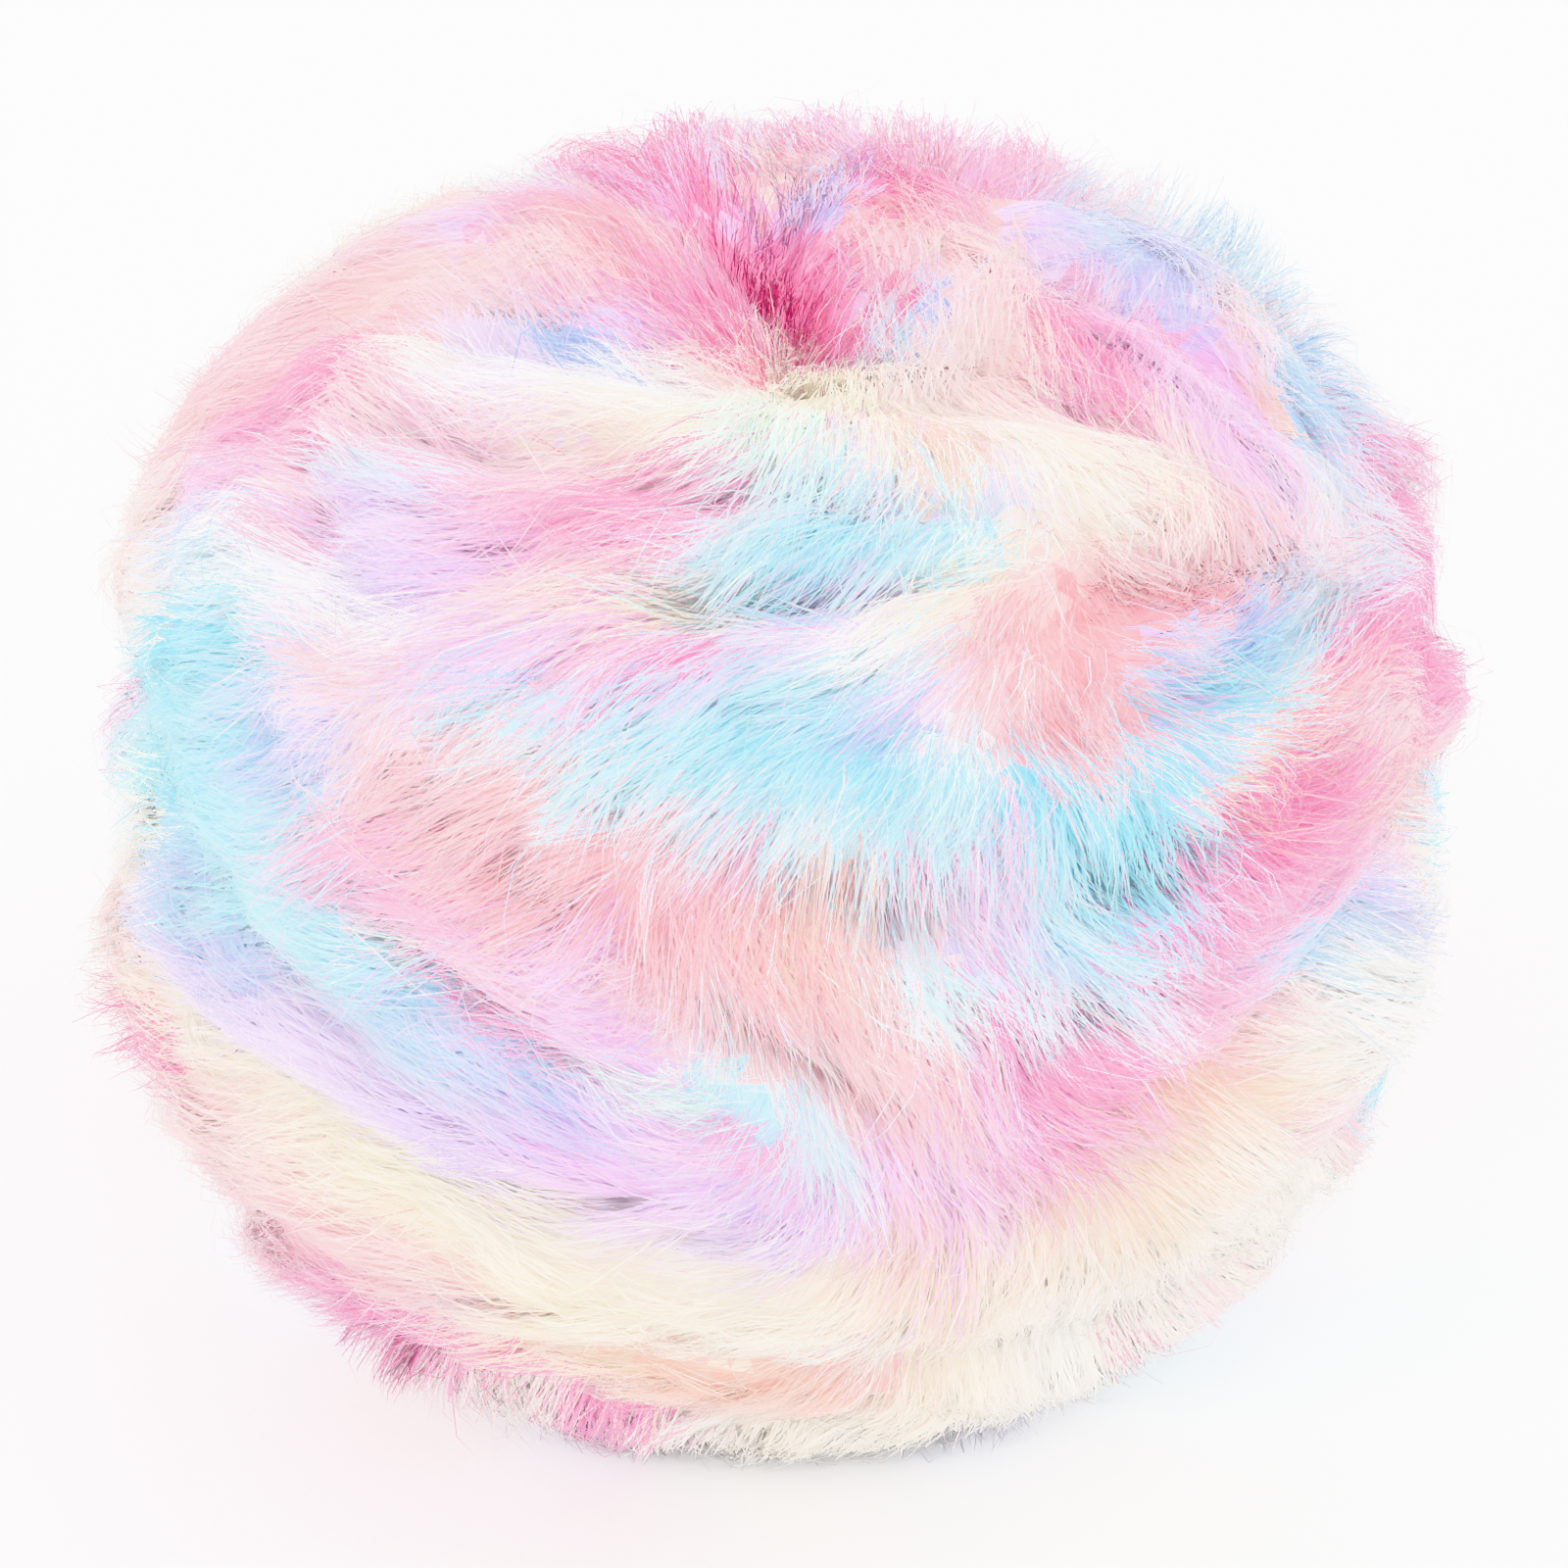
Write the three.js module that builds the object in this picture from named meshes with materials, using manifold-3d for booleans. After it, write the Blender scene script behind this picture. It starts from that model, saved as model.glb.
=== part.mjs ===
import * as THREE from 'three';
import { mergeVertices } from 'three/addons/utils/BufferGeometryUtils.js';
import Module from 'manifold-3d';

// A ball of thick faux fur yarn that rests on a small flat spot. Millimetres, +Z up.
// The origin is the middle of the flat spot, and -Y is the ball's front.
// Directions from the ball's centre are given as longitude (0 at the front, + to the right)
// and latitude, in degrees.

// Driving dimensions
const BALL_RADIUS = 66.5;        // sideways, to the crowns of the lowest wraps
const BALL_HALF_HEIGHT = 60;
const SQUARENESS = 2.5;          // exponent of the rounded-square outline, 2 is an ellipse
const CENTRE_HEIGHT = 57;        // of the ball's centre over its flat spot
const HOLLOW_DEPTH = 9;          // at the top, where the winding's axis comes out
const HOLLOW_SPREAD = 17;        // degrees from the axis
const HOLLOW = { lon: -60, lat: 84 };
const WRAP_BULGE = 7;            // crown of a wrap over its edges
const LEVEL_RISE = 1.2;          // a wrap lies this much higher for each level
const CREASE_DEPTH = 7;          // deepest that the creases between wraps go
const END_DIVE = 0.3;            // drop for each millimetre past a wrap's ends
const PRESSED = { to: 20, free: 32 };  // degrees from straight down: the wraps are pressed flat
                                 // as far as to, and have their full relief from free on
const MESH_DETAIL = 13;          // of the icosahedral mesh
const WELD_GAP = 1e-4;           // mesh corners nearer than this are one

// The fur, as locks fused into the wraps by their roots
const LOCK_COUNT = 180;
const LOCK_LENGTH = { least: 13.5, most: 21 };
const LOCK_WIDTH = { least: 8.5, most: 12.5 };
const LOCK_TAPER = 0.72;         // width at the bend, as a share of the width at the root
const LOCK_THICKNESS = 0.25;     // also as a share of its width
const LOCK_SINK = 2;             // of a root under the surface
const LOCK_TURN = 25;            // most degrees, either way, from the wrap's comb
const LOCK_RISE = 24;            // degrees that a lock stands off the surface, at its root
const LOCK_DROOP = 30;           // degrees less at its tip
const LOCK_FLOOR_GAP = 1.2;      // lowest that a lock's tip comes to the floor
const LOWEST_ROOT = -0.72;       // sine of the lowest latitude that carries locks

// The wraps. Each follows a circle drawn on the ball about its own pole: radius is the circle's
// angle from the pole, and from and to are the angles about the pole between which the wrap lies
// on top, with 0 nearest the front. Width is in millimetres, and a higher level lies over a
// lower one. Comb is the angle, in degrees, at which the fur leaves the wrap's run.
const WRAP_COLUMNS = [
  'name', 'poleLon', 'poleLat', 'radius', 'from', 'to', 'width', 'level', 'comb',
];
const WRAPS = [
  ['girth', 20, 84, 88, -180, 180, 18, 0, 20],
  ['girth_low', 150, 80, 112, -180, 180, 18, 0, 20],
  ['base_ring', 0, 86, 134, -180, 180, 18, 0, 10],
  ['upright_right', 78, 22, 84, -180, 180, 18, 0, 160],
  ['upright_left', -70, 25, 82, -180, 180, 18, 0, 20],
  ['slant_back', 172, 38, 66, -180, 180, 18, 0, 30],
  ['cap_ring', 10, 80, 42, -180, 180, 16, 0, 30],
  ['rear_rim', 0, 61, 68, 136, 224, 16, 2, -60],
  ['left_shoulder', -70, 51, 31, 89, 253, 17, 3, 150],
  ['cream_top', 163, 50, 64, -58, 41, 15, 3, 40],
  ['pink_streak', 171, 76, 50, -66, 30, 10, 1, 150],
  ['orchid', -78, 83, 46, -38, 46, 11, 1, 160],
  ['blue_belt', 72, 82, 55, -38, 89, 13, 3, 140],
  ['coral_right', -159, 77, 64, 16, 56, 13, 2, 40],
  ['coral', 135, 38, 109, -56, 5, 14, 2, 40],
  ['inner_left', 61, 63, 73, -82, 5, 13, 2, 160],
  ['big_smile', 2, 59, 58, -93, 94, 14, 2, 30],
  ['lavender', 134, 72, 107, -74, 15, 11, 2, 160],
  ['cream_loop', -21, 78, 94, -76, 68, 16, 3, 150],
  ['peach_low', 161, 70, 135, -75, 38, 11, 2, 150],
  ['grey_low', -1, 64, 106, -35, 46, 13, 1, 120],
  ['right_shoulder', 117, 39, 36, -94, 1, 16, 3, 20],
  ['right_outer', -24, 60, 63, 89, 138, 13, 2, 40],
  ['blue_lobe', 33, 80, 65, 4, 34, 10, 2, 60],
  ['back_belt', -150, 76, 62, 120, 240, 15, 3, 30],
  ['back_smile', 178, 58, 62, 70, 190, 15, 2, 150],
  ['back_sling', -175, 66, 84, 90, 200, 15, 3, 30],
  ['back_low', 160, 74, 108, 110, 260, 16, 2, 150],
  ['left_flank', -60, 58, 84, 40, 150, 14, 2, 30],
  ['right_flank', 60, 56, 86, -150, -40, 14, 2, 150],
];

const RADIANS = Math.PI / 180;
const HALF_TURN = 180;

// Unit vector of a longitude and latitude
function direction(lon, lat) {
  const level = Math.cos(lat * RADIANS);
  return new THREE.Vector3(
    Math.sin(lon * RADIANS) * level,
    -Math.cos(lon * RADIANS) * level,
    Math.sin(lat * RADIANS),
  );
}

// A wrap's row with the pole's own axes: 0 degrees is towards the front
function placeWrap(row) {
  const wrap = Object.fromEntries(WRAP_COLUMNS.map((column, i) => [column, row[i]]));
  wrap.pole = direction(wrap.poleLon, wrap.poleLat);
  const front = new THREE.Vector3(0, -1, 0);
  wrap.start = front.addScaledVector(wrap.pole, -front.dot(wrap.pole)).normalize();
  wrap.side = new THREE.Vector3().crossVectors(wrap.pole, wrap.start);
  wrap.middle = (wrap.from + wrap.to) / 2;
  wrap.half = (wrap.to - wrap.from) / 2;
  return wrap;
}

const PLACED_WRAPS = WRAPS.map(placeWrap);
const HOLLOW_AXIS = direction(HOLLOW.lon, HOLLOW.lat);

function wrapDegrees(angle) {
  return angle - 2 * HALF_TURN * Math.round(angle / (2 * HALF_TURN));
}

// Height of one wrap over the base form, in a direction from the centre
function wrapHeight(wrap, dir) {
  const fromPole = Math.acos(THREE.MathUtils.clamp(dir.dot(wrap.pole), -1, 1));
  const across = (fromPole - wrap.radius * RADIANS) * BALL_RADIUS;
  const around = Math.atan2(dir.dot(wrap.side), dir.dot(wrap.start)) / RADIANS;
  const past = Math.max(0, Math.abs(wrapDegrees(around - wrap.middle)) - wrap.half);
  const pastLength = past * RADIANS * BALL_RADIUS * Math.sin(wrap.radius * RADIANS);
  const crown = WRAP_BULGE * (1 - (across / (wrap.width / 2)) ** 2);
  return crown + LEVEL_RISE * wrap.level - END_DIVE * pastLength;
}

// The wrap that lies on top in a direction, and its height there
function topWrap(dir) {
  let best = { wrap: null, height: -Infinity };
  for (const wrap of PLACED_WRAPS) {
    const height = wrapHeight(wrap, dir);
    if (height > best.height) best = { wrap, height };
  }
  return best;
}

// Distance from the centre to the surface of the wound form, before its flat spot is cut
function surfaceRadius(dir) {
  const fromNadir = Math.acos(THREE.MathUtils.clamp(-dir.z, -1, 1)) / RADIANS;
  const free = THREE.MathUtils.smoothstep(fromNadir, PRESSED.to, PRESSED.free);
  const sideways = Math.hypot(dir.x, dir.y) / BALL_RADIUS;
  const upright = Math.abs(dir.z) / BALL_HALF_HEIGHT;
  const base = (sideways ** SQUARENESS + upright ** SQUARENESS) ** (-1 / SQUARENESS);
  const fromHollow = Math.acos(THREE.MathUtils.clamp(dir.dot(HOLLOW_AXIS), -1, 1)) / RADIANS;
  const hollow = HOLLOW_DEPTH * Math.exp(-((fromHollow / HOLLOW_SPREAD) ** 2));
  const relief = Math.max(-CREASE_DEPTH, topWrap(dir).height - WRAP_BULGE);
  return base + free * relief - hollow;
}

function surfacePoint(dir, lift = 0) {
  const point = dir.clone().multiplyScalar(surfaceRadius(dir) + lift);
  point.z += CENTRE_HEIGHT;
  return point;
}

// The wound form, as a finely divided icosahedron pushed out to the wraps' surface
function woundForm() {
  const geometry = new THREE.IcosahedronGeometry(1, MESH_DETAIL);
  const position = geometry.getAttribute('position');
  const dir = new THREE.Vector3();
  for (let i = 0; i < position.count; i += 1) {
    dir.fromBufferAttribute(position, i).normalize();
    const point = surfacePoint(dir);
    position.setXYZ(i, point.x, point.y, point.z);
  }
  return geometry;
}

// Repeatable number between two others, for the lock at an index. Multiples of an irrational
// step fill the span evenly.
function between(least, most, index, step) {
  const multiple = index * step;
  return least + (most - least) * (multiple - Math.floor(multiple));
}

// Direction in which the fur lies: along the wrap, turned by its comb angle
function furDirection(dir) {
  const { wrap } = topWrap(dir);
  const along = new THREE.Vector3().crossVectors(wrap.pole, dir).normalize();
  return along.applyAxisAngle(dir, wrap.comb * RADIANS);
}

// One lock: a bent three-sided spike with its root under the surface
function lock(index, dir) {
  const lie = furDirection(dir);
  lie.applyAxisAngle(dir, between(-LOCK_TURN, LOCK_TURN, index, Math.SQRT2) * RADIANS);
  const across = new THREE.Vector3().crossVectors(dir, lie).normalize();
  const length = between(LOCK_LENGTH.least, LOCK_LENGTH.most, index, Math.E);
  const width = between(LOCK_WIDTH.least, LOCK_WIDTH.most, index, Math.PI);
  const step = (angle, distance) => lie.clone()
    .multiplyScalar(Math.cos(angle * RADIANS) * distance)
    .addScaledVector(dir, Math.sin(angle * RADIANS) * distance);
  const root = surfacePoint(dir, -LOCK_SINK);
  const bend = root.clone().add(step(LOCK_RISE, length / 2));
  const tip = bend.clone().add(step(LOCK_RISE - LOCK_DROOP, length / 2));
  tip.z = Math.max(tip.z, LOCK_FLOOR_GAP);
  bend.z = Math.max(bend.z, LOCK_FLOOR_GAP + width * LOCK_THICKNESS);
  const ring = (centre, size) => [
    centre.clone().addScaledVector(across, size / 2),
    centre.clone().addScaledVector(dir, size * LOCK_THICKNESS),
    centre.clone().addScaledVector(across, -size / 2),
  ];
  const points = [...ring(root, width), ...ring(bend, width * LOCK_TAPER), tip];
  const faces = [0, 2, 1];
  for (let side = 0; side < 3; side += 1) {
    const next = (side + 1) % 3;
    faces.push(side, next, side + 3, next, next + 3, side + 3);
    faces.push(side + 3, next + 3, 6);
  }
  const geometry = new THREE.BufferGeometry();
  const numbers = points.flatMap((point) => [point.x, point.y, point.z]);
  geometry.setAttribute('position', new THREE.Float32BufferAttribute(numbers, 3));
  geometry.setIndex(faces);
  return geometry;
}

// Roots of the locks, spread evenly by a golden-angle spiral
function lockRoots() {
  const goldenTurn = HALF_TURN * (3 - Math.sqrt(5));
  const roots = [];
  for (let i = 0; i < LOCK_COUNT; i += 1) {
    const height = 1 - (i + 0.5) * (1 - LOWEST_ROOT) / LOCK_COUNT;
    roots.push(direction(i * goldenTurn, Math.asin(height) / RADIANS));
  }
  return roots;
}

const wasm = await Module();
wasm.setup();

// A closed mesh as a solid that can be joined
function asSolid(geometry) {
  geometry.deleteAttribute('normal');
  geometry.deleteAttribute('uv');
  const merged = mergeVertices(geometry, WELD_GAP);
  return new wasm.Manifold(new wasm.Mesh({
    numProp: 3,
    vertProperties: new Float32Array(merged.getAttribute('position').array),
    triVerts: new Uint32Array(merged.getIndex().array),
  }));
}

function asGeometry(solid) {
  const mesh = solid.getMesh();
  const geometry = new THREE.BufferGeometry();
  geometry.setAttribute('position', new THREE.BufferAttribute(mesh.vertProperties, 3));
  geometry.setIndex(new THREE.BufferAttribute(mesh.triVerts, 1));
  geometry.computeVertexNormals();
  return geometry;
}

// The outer shell alone, without pockets that crossing locks close off
function withoutPockets(solid) {
  return solid.decompose().reduce((a, b) => (a.volume() > b.volume() ? a : b));
}

function yarnBall() {
  let ball = asSolid(woundForm()).trimByPlane([0, 0, 1], 0);
  lockRoots().forEach((dir, index) => {
    ball = ball.add(asSolid(lock(index, dir)));
  });
  const fur = new THREE.MeshStandardMaterial({
    color: 0xf4dbe6,
    roughness: 0.95,
    metalness: 0,
  });
  const mesh = new THREE.Mesh(asGeometry(withoutPockets(ball)), fur);
  mesh.name = 'yarn_ball';
  return mesh;
}

const model = new THREE.Group();
model.add(yarnBall());

export default model;
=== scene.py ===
"""A ball of variegated pastel faux fur yarn: a wound undercoat and its combed, dyed pile."""
import math
from collections import namedtuple

import bmesh
import bpy
import numpy as np
from mathutils.kdtree import KDTree
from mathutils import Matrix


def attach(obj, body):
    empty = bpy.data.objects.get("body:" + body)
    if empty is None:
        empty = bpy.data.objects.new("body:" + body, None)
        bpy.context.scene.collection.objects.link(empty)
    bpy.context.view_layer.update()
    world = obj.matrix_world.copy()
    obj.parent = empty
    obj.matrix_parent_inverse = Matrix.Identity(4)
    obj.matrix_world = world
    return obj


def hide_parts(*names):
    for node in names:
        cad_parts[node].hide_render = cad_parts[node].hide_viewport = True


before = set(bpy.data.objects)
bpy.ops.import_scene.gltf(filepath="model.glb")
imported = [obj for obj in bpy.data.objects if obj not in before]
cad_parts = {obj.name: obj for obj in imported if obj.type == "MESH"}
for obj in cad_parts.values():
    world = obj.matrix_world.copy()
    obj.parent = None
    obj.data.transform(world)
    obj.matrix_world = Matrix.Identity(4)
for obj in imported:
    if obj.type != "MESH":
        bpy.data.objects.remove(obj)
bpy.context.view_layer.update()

MM = 0.001
TINY = 1e-9
RNG = np.random.default_rng(20)

# The wound form, in millimetres, as the ball's solid has it: origin in the middle of the flat
# spot, +Z up, -Y the front. Longitude is 0 at the front and + to the right.
BALL_RADIUS = 66.5
BALL_HALF_HEIGHT = 60
SQUARENESS = 2.5
CENTRE_HEIGHT = 57
HOLLOW_DEPTH = 9
HOLLOW_SPREAD = 17                     # degrees from its axis
HOLLOW_LON, HOLLOW_LAT = -60, 84
WRAP_BULGE = 7
LEVEL_RISE = 1.2                       # for each level that a wrap lies higher
CREASE_DEPTH = 7
END_DIVE = 0.3                         # for each mm past a wrap's end
PRESSED_TO, PRESSED_FREE = 20, 32      # degrees from straight down

Wrap = namedtuple("Wrap", "name pole_lon pole_lat radius start end width level comb dyes")
WRAPS = [
    # Angles are in degrees and widths in mm. The comb turns the pile's lie away from the wrap.
    Wrap("girth", 20, 84, 88, -180, 180, 18, 0, 20, "blush pink rose orchid lilac cream aqua sky"),
    Wrap("girth_low", 150, 80, 112, -180, 180, 18, 0, 20, "cream oat coral pink lilac aqua mist"),
    Wrap("base_ring", 0, 86, 134, -180, 180, 18, 0, 10, "pink cream aqua lilac peach blush"),
    Wrap("upright_right", 78, 22, 84, -180, 180, 18, 0, 160, "peach coral blush aqua peri lilac"),
    Wrap("upright_left", -70, 25, 82, -180, 180, 18, 0, 20, "aqua mist lilac orchid pink cream"),
    Wrap("slant_back", 172, 38, 66, -180, 180, 18, 0, 30, "rose pink blush cream butter mint aqua"),
    Wrap("cap_ring", 10, 80, 42, -180, 180, 16, 0, 30, "pink orchid lilac blush cream coral"),
    Wrap("rear_rim", 0, 61, 68, 136, 224, 16, 2, -60, "blush shell mist blush pink rose"),
    Wrap("left_shoulder", -70, 51, 31, 89, 253, 17, 3, 150, "blush shell shell blush peach"),
    Wrap("cream_top", 163, 50, 64, -58, 41, 15, 3, 40, "cream cream shell blush"),
    Wrap("pink_streak", 171, 76, 50, -66, 30, 10, 1, 150, "rose pink aqua"),
    Wrap("orchid", -78, 83, 46, -38, 46, 11, 1, 160, "orchid pink lilac"),
    Wrap("blue_belt", 72, 82, 55, -38, 89, 13, 3, 140, "aqua turquoise aqua sky"),
    Wrap("coral_right", -159, 77, 64, 16, 56, 13, 2, 40, "coral salmon"),
    Wrap("coral", 135, 38, 109, -56, 5, 14, 2, 40, "coral salmon peach"),
    Wrap("inner_left", 61, 63, 73, -82, 5, 13, 2, 160, "white lilac blush pink"),
    Wrap("big_smile", 2, 59, 58, -93, 94, 14, 2, 30, "aqua lilac orchid rose pink"),
    Wrap("lavender", 134, 72, 107, -74, 15, 11, 2, 160, "peri lilac violet"),
    Wrap("cream_loop", -21, 78, 94, -76, 68, 16, 3, 150, "cream butter cream oat"),
    Wrap("peach_low", 161, 70, 135, -75, 38, 11, 2, 150, "coral rose peach"),
    # The next wrap's greyish dye carries the painted shade of the ball's underside on round its far
    # side.
    Wrap("grey_low", -1, 64, 106, -35, 46, 13, 1, 120, "oat cream"),
    Wrap("right_shoulder", 117, 39, 36, -94, 1, 16, 3, 20, "blush pink shell"),
    Wrap("right_outer", -24, 60, 63, 89, 138, 13, 2, 40, "mist sky orchid"),
    Wrap("blue_lobe", 33, 80, 65, 4, 34, 10, 2, 60, "mist sky"),
    Wrap("back_belt", -150, 76, 62, 120, 240, 15, 3, 30, "aqua sky peri lilac orchid pink rose coral"),
    Wrap("back_smile", 178, 58, 62, 70, 190, 15, 2, 150, "blush coral peach cream butter mint aqua"),
    Wrap("back_sling", -175, 66, 84, 90, 200, 15, 3, 30, "pink orchid lilac peri sky aqua mint"),
    Wrap("back_low", 160, 74, 108, 110, 260, 16, 2, 150, "cream butter peach coral pink orchid"),
    Wrap("left_flank", -60, 58, 84, 40, 150, 14, 2, 30, "aqua mist white lilac orchid pink"),
    Wrap("right_flank", 60, 56, 86, -150, -40, 14, 2, 150, "rose pink blush shell cream oat"),
]
DYE_STEP = 17          # mm of wrap that one dye takes on the ball's far side
STROKE_REACH = 4       # mm from the middle of a stroke there to its ends
PHOTO_EDGE = 0.02      # cosine to the view, beyond which the photograph looks

# The photograph's view. The middle of its square frame looks at the ball's centre.
FRAME_PIXELS = 1600
PIXELS_PER_MM = 9.7    # at the ball's centre
VIEW_DISTANCE = 750.0
VIEW_ELEVATION = 33.0
SENSOR = 36.0
CLIP_START = 0.01      # m
SIGHT_STEPS = np.linspace(0.85, 1.03, 260)     # along a line of sight, with 1 beside the centre

# Fur. Hairs grow in clumps, and clumps lean together in locks. Turns are in degrees about the
# combed lie. Rises, bends and growth are shares of a hair's length.
LOCKS = 1400
LOCK_JITTER = 0.02             # of the even spread of their directions
LOCK_TURN = 12
LOCK_SIZES = (0.75, 1.28)
LOCK_RISE = (0.48, 0.21)       # its mean and how far it varies
LOCK_BEND = 0.13
CLUMPS = 11500
CLUMP_JITTER = 0.012
CLUMP_TURN = 7
CLUMP_SIZES = (0.88, 1.1)
CLUMP_RISE = 0.07
CLUMP_BEND = 0.05
CLUMP_GATHERS = 0.035          # bend towards the lock, for each mm from its middle
CLUMP_SAG = 0.8                # mm that its tip hangs
CLUMP_SPREAD = 2.0             # mm from a clump's middle to its outer roots
CLUMP_STRETCH = 1.4            # its length along the lie, against its width
CLUMP_CLOSES = 0.75            # how far a clump narrows to its tip
HAIRS_A_CLUMP = 16
HAIR_PIECES = 6
HAIR_LENGTH = 13.0             # mm
HAIR_WIDTH = 0.11              # mm
HAIR_TWIST = 40                # degrees that a hair's ribbon turns out of the surface
HAIR_TAPER = (0, 0.34, 1), (0.9, 1.0, 0.45)    # places along a hair, and its width there
HAIR_STATIONS = np.array([0.0, 0.3, 0.65, 1.0])    # places along it with corners
HAIR_TURN = 7
HAIR_SIZES = (0.7, 1.15)
HAIR_WIDTHS = (0.8, 1.2)
HAIR_RISE = 0.1
HAIR_BEND = 0.08
HAIR_SAGS = (0.2, 1.4)         # mm
HAIR_JOINS = (0.25, 0.7)       # how far the tips follow their clump
REACH, REACH_GROWTH = 0.86, 0.06               # along the lie
STRAY_SHARE = 0.16
STRAY_TURN = 25
STRAY_RISE = 0.25
STRAY_JOINS = 0.05
TIP_RISE = 0.16
TIP_CLEARS = 0.4               # mm between a tip and the wound form
TIP_FOLLOWS = 0.5              # how far a tip's height follows the form under it
PARTED_TURN = 35               # added, as are the next two, where the pile parts
PARTED_RISE = 0.5
PARTED_TIP_RISE = 0.45
TUFTS = [
    # places of the photograph's frame (pixels) where the pile stands up, and their size (mm)
    (1052, 160, 4.5), (1282, 265, 4.0), (702, 145, 2.5), (858, 142, 2.5), (1180, 212, 3.0),
    (1425, 430, 3.0), (135, 560, 3.0), (330, 235, 3.0),
]
TUFT_RISE = 0.9
TUFT_GROWTH = 0.35
TUFT_STAND = 0.7               # how much of its lean it loses
FLOOR_GAP = 0.15               # mm under the lowest hairs

# Shade and dye of the fur
SOFT_SHADE = 0.55              # share of the wound form's normal in a hair's own
CLUMP_TONE, HAIR_TONE = 0.05, 0.06
ROOT_TONE = 0.3                # share of a tone that shows at the root
FAR_SHARE = 0.6                # of the hairs that take their dye from further off
FAR_WANDER = (5.0, 2.2)        # mm along the lie and across it
NEAR_WANDER = (2.2, 1.1)
PILE_DYE_AND_PAINTED_LIGHT = (0.82, 0.22)      # strength of the dye at the root and at the tip; the deeper root is painted shade, the paler tip painted light
# The undercoat's dye is painted paler than the pile's roots: painted light that lifts the shade in the
# pile's gaps and creases.
CORE_DYE_AND_PAINTED_LIGHT = (0.65, 0.5)
ROUGHNESS = 0.62
SUBSURFACE_WEIGHT = 0.9
SUBSURFACE_REACH = 0.8         # mm that light goes through the fur
MAP_ROOT, MAP_RUN = 0.06, 0.88                 # where a hair lies on the map's second axis
MAP_ENDS = (0.01, 0.99)
MAP_SIDE = 0.3                 # half a face's width on the map, as a share of a dye's

# The undercoat, the core under the pile
CORE_SUBDIVISIONS = 6
CORE_SINK = 0.4                # mm inside the wound form
CORE_WANDER = 1.2              # mm between a face and the place that its dye is taken from
CORE_TONES = (0.1, 0.88)       # places of its faces on the map's second axis
CORE_MAP_HEIGHT = 0.06         # half a face's height on the map

# Light
KEY_DIRECTION = (-0.2, -0.7, 0.68)
KEY_FROM = 0.2                 # cosine to it, beyond which the tent brightens
TENT_POWER = 2.8
KEY_POWER = 3.5
FLOOR_REACH = 3.0              # m from the ball to the floor's edges
FLOOR_WHITE = 0.93
FLOOR_ROUGHNESS = 0.9
FLOOR_SPECULAR = 0.1

# Dyes, as 8-bit sRGB
DYES = {
    "white": (252, 250, 251), "ivory": (251, 246, 238), "cream": (250, 240, 226),
    # Oat and smoke here and sand below are greys and a tan that the front's strokes lay as painted
    # shade on the underside and lower right; oat is also a dye of the wraps.
    "butter": (250, 241, 222), "oat": (240, 232, 224), "painted_shade_grey": (228, 226, 222),
    "painted_shade_tan": (247, 226, 206), "peach": (250, 206, 190), "shell": (252, 224, 222),
    "haze": (248, 230, 226), "blush": (252, 218, 226), "coral": (253, 202, 207),
    "salmon": (251, 180, 190), "pink": (250, 182, 216), "rose": (250, 140, 192),
    "magenta": (250, 112, 168), "orchid": (242, 196, 238), "lilac": (234, 214, 244),
    "violet": (214, 190, 238), "peri": (208, 210, 248), "blue": (150, 178, 232),
    "sky": (176, 216, 244), "aqua": (184, 236, 248), "turquoise": (140, 222, 240),
    "mist": (214, 232, 242), "sage": (196, 222, 226), "mint": (220, 242, 232),
}
DYE_NAMES = list(DYES)
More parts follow.
